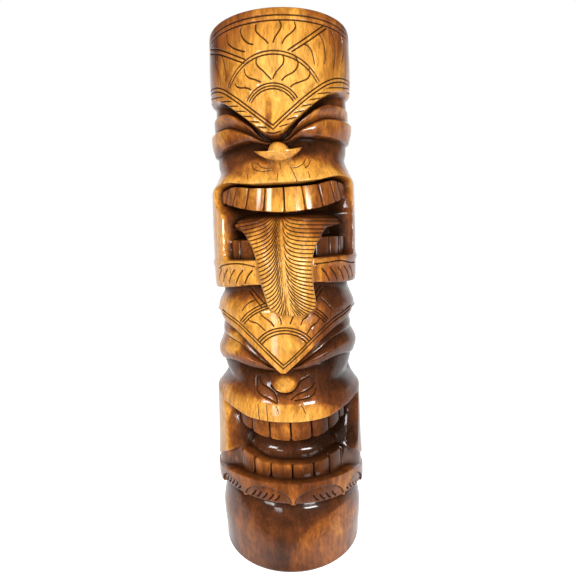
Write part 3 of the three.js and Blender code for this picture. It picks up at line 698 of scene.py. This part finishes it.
def engrave_border(work, edge, border):
    """Two lines along a brow plate's edge, and short feathers between them and the edge."""
    tip, shoulder = edge(np.array([0.0, border.reach]))
    window, p = work.window(border.reach, tip - WINDOW_MARGIN, shoulder + BORDER_HEADROOM)
    up = p.z - edge(p.side)
    for rise in border.rises:
        work.add(np.abs(up - rise) / across_tilt(edge, p.side), GOUGE, window)
    if hasattr(border, "feather"):
        (start, end), fade = border.feather, border.feather_fade
        share = smooth(up, start - fade, start + fade) * (1 - smooth(up, end - 2 * fade, end))
        feathers = (p.z - border.feather_slope * p.side) / border.feather_pitch
        work.contours(feathers, FEATHER_GOUGE, share, window)


def engrave_tongue(work):
    """Hairs that leave the middle crease steeply and flatten towards the edges, every other one shorter."""
    low = TONGUE_TIP.height - TONGUE_TIP.length
    window, p = work.window(TONGUE_REACH, low, TONGUE_ROOT)
    beside = 1 - smooth(tongue_inside(p), -TONGUE_CROWN, 0)
    work.cut[window] *= beside
    work.depth[window] *= beside
    out = p.arc - crease(p.z)
    off = np.abs(out)
    sweeps = []
    for hairs in (HAIRS_LEFT, HAIRS_RIGHT):
        table = np.array(hairs, float)
        sweep, softness = (curve(table[:, (0, k)])(p.z) for k in (1, 2))
        sweeps.append(sweep * (1 / (off + softness) - 1 / (HAIR_EDGE + softness)))
    field = (p.z - np.where(out < 0, *sweeps)) / HAIR_PITCH
    long_start, short_start = HAIR_STARTS
    begun = np.where(np.round(field) % 2 == 0, smooth(off, *long_start), smooth(off, *short_start))
    inside = smooth(tongue_inside(p), HAIR_INSIDE, 2 * HAIR_INSIDE)
    share = begun * inside * smooth(HAIR_ROOT - p.z, 0, HAIR_PITCH)
    work.contours(field, HAIR_GOUGE, share, window)


def engrave_eyes(work):
    """Thin lines in the creases over the lids."""
    for line in (LID_GROOVE, BROW_GROOVE, BROW_STEP):
        height = station_curve(line)
        window, p = work.window(BACK_START, min(line) - WINDOW_MARGIN, max(line) + WINDOW_MARGIN)
        share = smooth(p.side, *EYE_CREASE.start) * (1 - smooth(p.side, *EYE_CREASE.end))
        work.add(np.abs(p.z - height(p.side)) / across_tilt(height, p.side), CREASE_GOUGE, window, share)


def engrave_scallops(work):
    """A line along the top of each hollow in the chin."""
    window, p = work.window(BACK_START, min(CHIN) - WINDOW_MARGIN, max(LOWER_LIP))
    share = smooth(p.z - chin(p.side), *SCALLOP_LINE.start)
    inside = np.clip(scallop_inside(p), -SCALLOP_LINE.band, SCALLOP_LINE.band)
    work.contours(inside, GOUGE, share, window)


def lip_top(start):
    return LIP_STROKES.top


def chin_foot(start):
    leaning = float(lean(CHIN_STROKES.lean_height)) * start
    return float(chin(abs(start))) + leaning + CHIN_STROKES.foot


def engrave(arcs, heights):
    work = Engraving(arcs, heights)
    for ring in RING_HEIGHTS:
        work.add(np.abs(heights[:, None] - ring) + np.zeros_like(arcs), GOUGE)
    engrave_border(work, plate_line(UPPER_PLATE), UPPER_BORDER)
    engrave_border(work, plate_line(LOWER_PLATE), LOWER_BORDER)
    for line in (*fan_arcs(UPPER_FAN), *fan_arcs(LOWER_FAN)):
        work.follow(line, GOUGE)
    for line in UPPER_PETALS + LOWER_PETALS + UPPER_BANDS + LOWER_BANDS + LIP_ARCHES:
        work.follow(spline(line), GOUGE)
    for line in (*strokes(LIP_STROKE, LIP_STROKES.left, lip_top),
                 *strokes(LIP_STROKE, LIP_STROKES.right, lip_top, -1),
                 *strokes(CHIN_STROKE, CHIN_STROKES.left, chin_foot),
                 *strokes(CHIN_STROKE, CHIN_STROKES.right, chin_foot, -1)):
        work.follow(line, STROKE_GOUGE)
    for line in CRACKS + MUZZLE_LINES:
        work.follow(spline(line), FINE_GOUGE)
    engrave_eyes(work)
    engrave_scallops(work)
    engrave_tongue(work)
    return work


def add_object(name, data):
    made = bpy.data.objects.new(name, data)
    bpy.context.scene.collection.objects.link(made)
    return made


def draw_in(share):
    """How far a quarter-round edge draws in, at this share of the way over it."""
    return 1 - np.sqrt(1 - EDGE_SHARE * np.clip(share, 0, 1) ** 2)


# Sapwood: how deep the gold reaches under the log's skin, at (height, left, middle, right)
SAPWOOD = [
    (0, 1, -8, -4), (120, -1, -9, -7), (145, -5, -10, -5), (190, -7, -12, -7), (206, 5, 9, -4),
    # On the right from 235 to 290 high the gold is cut back partly for dark wood, partly as painted shade
    # of the lower mouth's right jamb wall
    (235, 10, 9, -16), (290, 10, 19, -16), (325, 2, 2, -16), (370, -3, -3, -15), (405, 1, 6, -15),
    (450, 10, 14, -12), (520, 13, 14, -10), (552, 7, 13, -9), (590, 11, 13, -6), (640, 12, 13, -2),
    (690, 8, 24, 4), (740, 11, 19, 8), (775, 6, 13, 6), (800, 0, 9, 4), (840, 6, 11, 4),
    (880, 4, 17, 6), (940, 0, 16, 2), (990, -2, 6, -1), (1016, -4, 2, -2),
]
SAPWOOD_ARCS = (-105, -5, 105)
# Patches where the gold reaches deeper or less deep, as (arc, height, half width, half height, amount)
PATCHES = [
    (75, 796, 55, 15, -12),
    (-10, 811, 24, 9, -14),
    (48, 846, 40, 30, 6),
    (-15, 122, 120, 36, -7),
    (-20, 40, 24, 75, -6),
    (-118, 445, 34, 26, 16),
    (-6, 380, 26, 16, 18),
    (-40, 752, 80, 24, -9),
    (-25, 600, 34, 70, -10),
    (150, 650, 34, 90, -7),
    (110, 832, 34, 22, -4),
    (-10, 860, 60, 40, -3),
    (85, 866, 40, 12, -12),
    (-118, 265, 24, 55, -9),
    # Darker right jamb of the lower mouth: partly dark wood, partly painted shade of the jamb wall
    (130, 250, 45, 60, -12),
    (-20, 850, 9, 60, -9),
    (-150, 970, 45, 50, -7),
    (-100, 620, 30, 24, -6),
    (10, 650, 60, 18, -3),
]
# Lines under which the gold begins sharply: points along each as (arc, height), the amount, and how
# far down it goes
GOLD_EDGES = [
    ([(-12, 0), (-6, 40), (10, 76), (30, 98), (60, 112), (110, 118)], 9, 130),
    ([(-165, 386), (-110, 374), (-80, 364), (-55, 353), (-30, 345), (30, 346), (60, 339), (90, 325),
      (108, 305)], 8, 36),
]
EDGE_BLEND = 5
EDGE_FADE = 1.4
PATCH_CORE = 0.3
# Painted shade in hollows: how far the neighbourhood reaches, how deep a hollow is fully darkened, and the
# blur passes
CAVITY_REACH = 9
CAVITY_DEPTH = 8
CAVITY_PASSES = 2


def sapwood_left(arc, height, depth):
    """Millimetres of gold left under each point, less than zero in the dark heart."""
    table = np.array(SAPWOOD, float)
    left, middle, right = (curve(table[:, (0, k)])(height) for k in (1, 2, 3))
    far_left, centre, far_right = SAPWOOD_ARCS
    thickness = middle + (left - middle) * (1 - smooth(arc, far_left, centre))
    thickness = thickness + (right - middle) * smooth(arc, centre, far_right)
    for patch_arc, patch_height, half_width, half_height, amount in PATCHES:
        apart = np.hypot((arc - patch_arc) / half_width, (height - patch_height) / half_height)
        thickness = thickness + amount * (1 - smooth(apart, PATCH_CORE, 1))
    for line, amount, reach in GOLD_EDGES:
        under = curve(line)(arc) - height
        fading = 1 - smooth(under, reach, EDGE_FADE * reach)
        thickness = thickness + amount * smooth(under, 0, EDGE_BLEND) * fading
    return depth + thickness


def box_blur(values, half, axis):
    count = 2 * half + 1
    pad = [(0, 0), (0, 0)]
    pad[axis] = (half + 1, half)
    total = np.cumsum(np.pad(values, pad, mode="edge"), axis=axis)
    upper = np.take(total, range(count, total.shape[axis]), axis=axis)
    lower = np.take(total, range(0, total.shape[axis] - count), axis=axis)
    return (upper - lower) / count


# Points found below their neighbourhood here are darkened in the wood's colour as painted shade.
def cavity(depth, row_step, column_step):
    """How far each point lies below its neighbourhood, from 0 to 1."""
    mean = depth
    for _ in range(CAVITY_PASSES):
        mean = box_blur(mean, int(CAVITY_REACH / row_step), 0)
        mean = box_blur(mean, int(CAVITY_REACH / column_step), 1)
    return np.clip((mean - depth) / CAVITY_DEPTH, 0, 1)


def fine_net():
    """Angles, heights, depth and surface values of the fine net."""
    t = np.linspace(-1, 1, COLUMNS + 1)[:-1]
    angles = math.pi * (FRONT_SHARE * t + (1 - FRONT_SHARE) * t ** FRONT_POWER)
    arcs = angles * ARC_RADIUS
    heights = np.linspace(0, HEIGHT, ROWS + 1)
    starts = range(0, ROWS + 1, BAND)
    depth = np.vstack([carved_depth(arcs[None], heights[row:row + BAND, None]) for row in starts])
    work = engrave(arcs, heights)
    hollow = cavity(depth, heights[1], arcs[COLUMNS // 2 + 1] - arcs[COLUMNS // 2])
    sap = sapwood_left(arcs[None], heights[:, None], depth)
    return angles, heights, depth - work.depth, {"groove": work.cut, "cavity": hollow, "sapwood": sap}


def net_mesh(angles, heights, depth):
    """The closed skin of the fine net as a mesh."""
    top = TOP_ROUNDING * draw_in((heights - HEIGHT) / TOP_ROUNDING + 1)
    foot = FOOT_ROUNDING * draw_in(1 - heights / FOOT_ROUNDING)
    radius = (LOG_RADIUS - LOG_TAPER * heights - top - foot)[:, None] + depth
    up = heights[:, None] + np.zeros_like(radius)
    points = np.stack([radius * np.sin(angles), -radius * np.cos(angles), up], axis=-1)
    columns = len(angles)
    numbers = np.arange(len(heights) * columns).reshape(len(heights), columns)
    turned = np.roll(numbers, -1, axis=1)
    quads = np.stack([numbers[:-1], turned[:-1], turned[1:], numbers[1:]], axis=-1).reshape(-1, 4)
    mesh = bpy.data.meshes.new("fine_net")
    mesh.vertices.add(numbers.size)
    mesh.vertices.foreach_set("co", (points * METRE).astype(np.float32).ravel())
    caps = [numbers[0][::-1], numbers[-1]]
    corners = np.concatenate([quads.ravel(), *caps])
    starts = np.concatenate([np.arange(0, quads.size, 4), quads.size + np.arange(2) * columns])
    mesh.loops.add(len(corners))
    mesh.loops.foreach_set("vertex_index", corners.astype(np.int32))
    mesh.polygons.add(len(starts))
    mesh.polygons.foreach_set("loop_start", starts.astype(np.int32))
    mesh.update(calc_edges=True)
    mesh.validate()
    across = np.gradient(points, axis=1)
    across[:, 0] = across[:, -1] = points[:, 0] - points[:, -1]
    normals = np.cross(across, np.gradient(points, axis=0))
    normals /= np.linalg.norm(normals, axis=-1, keepdims=True)
    return mesh, normals


def thinned(mesh):
    """The mesh with triangles kept only where the carving needs them."""
    dense = add_object("fine_net", mesh)
    triangles = sum(len(face.vertices) - 2 for face in mesh.polygons)
    modifier = dense.modifiers.new("thin", "DECIMATE")
    modifier.ratio = TRIANGLES / triangles
    modifier.use_collapse_triangulate = True
    graph = bpy.context.evaluated_depsgraph_get()
    made = bpy.data.meshes.new_from_object(dense.evaluated_get(graph))
    bpy.data.objects.remove(dense)
    bpy.data.meshes.remove(mesh)
    return made


def corner_points(mesh):
    """The corners of every triangle, each moved a little towards the triangle's middle."""
    points = np.empty(3 * len(mesh.vertices), np.float32)
    mesh.vertices.foreach_get("co", points)
    corners = np.empty(len(mesh.loops), np.int32)
    mesh.loops.foreach_get("vertex_index", corners)
    triangles = points.reshape(-1, 3)[corners].reshape(-1, 3, 3)
    return mix(triangles, triangles.mean(axis=1, keepdims=True), CORNER_INSET).reshape(-1, 3)


def net_sampler(points, angles, heights):
    """A function that reads values of the fine net at every point."""
    x, y, z = points.T
    column = np.interp(np.arctan2(x, -y), angles, np.arange(len(angles)))
    row = np.clip(z / METRE / HEIGHT * (len(heights) - 1), 0, len(heights) - 1)
    i, j = np.minimum(row.astype(int), len(heights) - 2), np.minimum(column.astype(int), len(angles) - 2)

    def sample(grid):
        shape = (-1,) + (1,) * (grid.ndim - 2)
        u, v = (row - i).reshape(shape), (column - j).reshape(shape)
        lower = mix(grid[i, j], grid[i, j + 1], v)
        upper = mix(grid[i + 1, j], grid[i + 1, j + 1], v)
        return mix(lower, upper, u)

    return sample


def add_surface_values(mesh, angles, heights, normals, values):
    """Give every corner the net's surface values and its exact normal."""
    sample = net_sampler(corner_points(mesh), angles, heights)
    for name, grid in values.items():
        attribute = mesh.attributes.new(name, "FLOAT", "CORNER")
        attribute.data.foreach_set("value", sample(grid).astype(np.float32))
    faces = np.empty(3 * len(mesh.polygons), np.float32)
    mesh.polygons.foreach_get("normal", faces)
    flat = np.repeat(faces.reshape(-1, 3), 3, axis=0)
    ends = np.abs(flat[:, 2]) > END_FACE
    mesh.polygons.foreach_set("use_smooth", np.ones(len(mesh.polygons), bool))
    mesh.normals_split_custom_set(np.where(ends[:, None], flat, sample(normals)))


# Lacquered wood
# The darkest heartwood, also the colour of the painted shade in hollows
HEART_AND_SHADE_BLACK = (0.018, 0.006, 0.002, 1)
HEART = (0.068, 0.020, 0.006, 1)
HEART_RED = (0.145, 0.040, 0.009, 1)
RUSSET = (0.290, 0.085, 0.013, 1)
AMBER = (0.450, 0.170, 0.022, 1)
GOLD = (0.660, 0.285, 0.040, 1)
PALE_GOLD = (0.770, 0.385, 0.080, 1)
# Painted shade in the engraved cuts
GROOVE_SHADE_BROWN = (0.030, 0.009, 0.002, 1)
LACQUER_ROUGHNESS = 0.11
LACQUER_SHARE = (1.0, 0.1)
WOOD_ROUGHNESS = (0.42, 0.30)
WOOD_SPECULAR = 0.05
PORE_STRENGTH = 0.05
PORE_DEPTH = 0.002

# Figure of the wood: noise scales along x, y and z, detail and roughness
STREAKS = ((75, 75, 7), 5.0, 0.6)
FLAME = ((14, 14, 7), 4.0, 0.6)
MOTTLE = ((60, 60, 32), 4.0, 0.65)
FLECKS = ((230, 230, 75), 3.0, 0.6)
PORES = ((620, 620, 60), 2.0, 0.55)
SWIRL_SCALE = 7.0
SWIRL = (0.05, 0.05, 0.12)
NOISE_SPAN = (0.3, 0.7)
# Millimetres of gold left, from the darkest wood to the palest, and the colours between
GOLD_SPAN = (-40, 22)
WOOD_STOPS = [(0.0, HEART_AND_SHADE_BLACK), (0.30, HEART), (0.50, HEART_RED), (0.62, RUSSET), (0.69, AMBER),
              (0.78, GOLD), (1.0, PALE_GOLD)]


class Nodes:
    """Short calls for building a node tree."""

    def __init__(self, tree):
        self.tree = tree

    def put(self, socket, value):
        """Link a node's output to a socket, or set the socket to a constant."""
        if isinstance(value, bpy.types.NodeSocket):
            self.tree.links.new(value, socket)
        else:
            socket.default_value = value

    def add(self, kind, inputs=None, **settings):
        node = self.tree.nodes.new("ShaderNode" + kind)
        for name, value in settings.items():
            setattr(node, name, value)
        for socket, value in (inputs or {}).items():
            self.put(node.inputs[socket], value)
        return node

    def math(self, operation, a, b):
        return self.add("Math", {0: a, 1: b}, operation=operation).outputs[0]

    def noise(self, place, scale, detail, roughness):
        moved = self.add("Mapping", {"Vector": place, "Scale": scale})
        inputs = {"Vector": moved.outputs[0], "Scale": 1.0, "Detail": detail, "Roughness": roughness}
        return self.add("TexNoise", inputs).outputs["Fac"]

    def range(self, value, low, high, to_low=0.0, to_high=1.0):
        inputs = {"Value": value, "From Min": low, "From Max": high, "To Min": to_low, "To Max": to_high}
        return self.add("MapRange", inputs).outputs["Result"]

    def ramp(self, factor, stops):
        node = self.add("ValToRGB", {"Fac": factor})
        elements = node.color_ramp.elements
        while len(elements) < len(stops):
            elements.new(0.5)
        for element, (position, colour) in zip(elements, stops):
            element.position = position
            element.color = colour
        return node.outputs["Color"]

    def mix(self, factor, a, b, blend="MIX"):
        node = self.add("Mix", data_type="RGBA", blend_type=blend)
        for socket, value in ((0, factor), (6, a), (7, b)):
            self.put(node.inputs[socket], value)
        return node.outputs[2]

    def attribute(self, name):
        return self.add("Attribute", attribute_name=name).outputs["Fac"]


def new_material(name):
    """A material, the calls for its node tree and its shader's inputs."""
    material = bpy.data.materials.new(name)
    material.use_nodes = True
    tree = material.node_tree
    return material, Nodes(tree), tree.nodes["Principled BSDF"].inputs


def lacquered_wood():
    material, nodes, surface = new_material("lacquered_wood")
    place = nodes.add("TexCoord").outputs["Object"]
    bent = nodes.add("TexNoise", {"Vector": place, "Scale": SWIRL_SCALE, "Detail": 2.0})
    swirl = nodes.add("VectorMath", {0: bent.outputs["Color"], 1: SWIRL}, operation="MULTIPLY")
    grain = nodes.add("VectorMath", {0: place, 1: swirl.outputs[0]}, operation="ADD").outputs[0]
    figure = (STREAKS, FLAME, MOTTLE, FLECKS, PORES)
    streaks, flame, mottle, flecks, pores = (nodes.noise(grain, *values) for values in figure)

    sapwood = nodes.attribute("sapwood")
    for noise, wander in ((streaks, 2.0), (flame, 6.0), (mottle, 2.5)):
        sapwood = nodes.math("ADD", sapwood, nodes.range(noise, *NOISE_SPAN, -wander, wander))
    wood = nodes.ramp(nodes.range(sapwood, *GOLD_SPAN), WOOD_STOPS)
    tone = nodes.math("MULTIPLY", nodes.range(streaks, *NOISE_SPAN, 0.86, 1.10),
                      nodes.range(mottle, *NOISE_SPAN, 0.74, 1.18))
    tone = nodes.math("MULTIPLY", tone, nodes.range(flecks, 0.36, 0.52, 0.70, 1.03))
    wood = nodes.mix(1.0, wood, tone, "MULTIPLY")
    wood = nodes.mix(nodes.range(pores, 0.34, 0.46, 0.35, 0.0), wood, HEART_RED)
    cavity_depth, groove = nodes.attribute("cavity"), nodes.attribute("groove")
    # Painted shade: wood lying below its neighbourhood is darkened towards near black.
    shaded = nodes.mix(nodes.range(cavity_depth, 0.05, 0.9, 0.0, 0.92), wood, HEART_AND_SHADE_BLACK)
    # Painted shade: the engraved cuts are darkened towards a dark brown.
    cut = nodes.mix(nodes.range(groove, 0.1, 0.8, 0.0, 0.95), shaded, GROOVE_SHADE_BROWN)
    hollow = nodes.math("MAXIMUM", cavity_depth, groove)
    grooved = nodes.math("ADD", pores, streaks)
    relief = {"Height": grooved, "Strength": PORE_STRENGTH, "Distance": PORE_DEPTH}

    nodes.put(surface["Base Color"], cut)
    nodes.put(surface["Roughness"], nodes.range(streaks, *NOISE_SPAN, *WOOD_ROUGHNESS))
    nodes.put(surface["Normal"], nodes.add("Bump", relief).outputs["Normal"])
    nodes.put(surface["Coat Weight"], nodes.range(hollow, 0.15, 0.7, *LACQUER_SHARE))
    nodes.put(surface["Coat Roughness"], LACQUER_ROUGHNESS)
    nodes.put(surface["Specular IOR Level"], WOOD_SPECULAR)
    return material


def make_totem():
    angles, heights, depth, values = fine_net()
    net, normals = net_mesh(angles, heights, depth)
    mesh = thinned(net)
    add_surface_values(mesh, angles, heights, normals, values)
    mesh.name = "carved_totem"
    mesh.materials.clear()
    mesh.materials.append(lacquered_wood())
    totem = add_object("carved_totem", mesh)
    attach(totem, "root")
    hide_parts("totem")


# Studio
CAMERA_PLACE = (0.004, -0.89, 0.659)
CAMERA_PITCH = math.radians(7.99)
CAMERA_ROLL = math.radians(1.63)
CAMERA_LENS = 27
CAMERA_SENSOR = 36
CAMERA_NEAR = 0.01
FLOOR_SIZE = 12
FLOOR_COLOUR = (0.93, 0.93, 0.93, 1)
FLOOR_ROUGHNESS = 0.9
FLOOR_GLOW = 0.8
WHITE = (1, 1, 1, 1)
SEEN_WHITE = 1.0
ROOM_LIGHT = 0.30
ROOM_GLOSS = 0.06
BACKDROP_GLOSS = 0.9
BACKDROP_LEAN = 0.8
BACKDROP_EDGE = (0.02, 0.35)
# Lights as name, place, target, size, power, and whether the lacquer mirrors them
LIGHTS = [
    ("left", (-1.0, -1.55, 1.05), (0, 0, 0.5), (0.5, 0.5), 14, True),
    ("right", (0.95, -1.6, 0.62), (0, 0, 0.55), (0.6, 0.45), 22, True),
    ("low", (-0.55, -1.6, 0.24), (0, 0, 0.13), (0.3, 0.42), 3, True),
    ("above", (-0.25, -1.35, 2.6), (0, 0, 0.6), (1.3, 1.0), 31, False),
]


def make_camera():
    data = bpy.data.cameras.new("camera")
    data.sensor_width = CAMERA_SENSOR
    data.lens = CAMERA_LENS
    data.clip_start = CAMERA_NEAR
    camera = add_object("camera", data)
    upright = Matrix.Rotation(math.pi / 2 - CAMERA_PITCH, 4, "X")
    camera.matrix_world = Matrix.Translation(CAMERA_PLACE) @ upright @ Matrix.Rotation(-CAMERA_ROLL, 4, "Z")
    bpy.context.scene.camera = camera


def make_light(name, place, target, size, power, mirrored):
    data = bpy.data.lights.new(name, "AREA")
    data.shape = "RECTANGLE"
    data.size, data.size_y = size
    data.energy = power
    light = add_object(name, data)
    light.location = place
    light.rotation_euler = (Vector(target) - Vector(place)).to_track_quat("-Z", "Y").to_euler()
    light.visible_glossy = mirrored


def make_floor():
    half = FLOOR_SIZE / 2
    mesh = bpy.data.meshes.new("floor")
    corners = [(-half, -half, 0), (half, -half, 0), (half, half, 0), (-half, half, 0)]
    mesh.from_pydata(corners, [], [(0, 1, 2, 3)])
    material, nodes, surface = new_material("floor_paper")
    nodes.put(surface["Base Color"], FLOOR_COLOUR)
    nodes.put(surface["Roughness"], FLOOR_ROUGHNESS)
    nodes.put(surface["Emission Color"], WHITE)
    seen = nodes.add("LightPath").outputs["Is Camera Ray"]
    nodes.put(surface["Emission Strength"], nodes.math("MULTIPLY", seen, FLOOR_GLOW))
    mesh.materials.append(material)
    floor = add_object("floor", mesh)
    floor.visible_glossy = False


def make_world():
    """White behind the object, and a dimmer room in front of it."""
    world = bpy.data.worlds.new("studio")
    bpy.context.scene.world = world
    world.use_nodes = True
    nodes = Nodes(world.node_tree)
    background = world.node_tree.nodes["Background"]
    nodes.put(background.inputs["Color"], WHITE)
    path = nodes.add("LightPath").outputs
    seen = nodes.range(path["Is Camera Ray"], 0, 1, 0, SEEN_WHITE - ROOM_LIGHT)
    towards = nodes.add("TexCoord").outputs["Generated"]
    ways = nodes.add("SeparateXYZ", {0: towards}).outputs
    low_or_behind = nodes.math("SUBTRACT", nodes.math("MULTIPLY", ways["Y"], BACKDROP_LEAN), ways["Z"])
    mirrored = nodes.range(low_or_behind, *BACKDROP_EDGE, ROOM_GLOSS, BACKDROP_GLOSS)
    room = nodes.range(path["Is Glossy Ray"], 0, 1, ROOM_LIGHT, mirrored)
    nodes.put(background.inputs["Strength"], nodes.math("ADD", seen, room))


make_camera()
make_totem()
make_floor()
make_world()
for light in LIGHTS:
    make_light(*light)
bpy.context.scene.view_settings.view_transform = "Standard"
